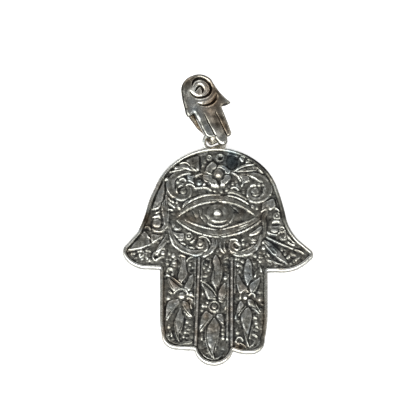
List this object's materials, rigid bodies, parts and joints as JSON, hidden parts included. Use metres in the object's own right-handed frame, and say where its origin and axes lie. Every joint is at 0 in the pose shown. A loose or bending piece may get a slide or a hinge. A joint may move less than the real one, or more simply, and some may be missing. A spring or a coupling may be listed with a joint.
{
  "type": "hamsa pendant",
  "caption": "Flat hamsa hand pendant with raised eye, flower, scroll and leaf ornament, a soldered ring and a small hamsa bail.",
  "frame": {"origin": "on the flat back, under the pupil of the eye in the palm", "axes": "+Y from the fingers to the bail, +Z out of the ornamented front"},
  "size_m": [0.038, 0.0587, 0.0063],
  "materials": {
    "oxidised_silver": "cast silver, blackened in the hollows and rubbed bright on the ridges and border",
    "polished_silver": "polished silver with darkened grooves"
  },
  "bodies": {
    "root": {"hand_plate": "oxidised_silver", "bail": "polished_silver"}
  },
  "joints": []
}
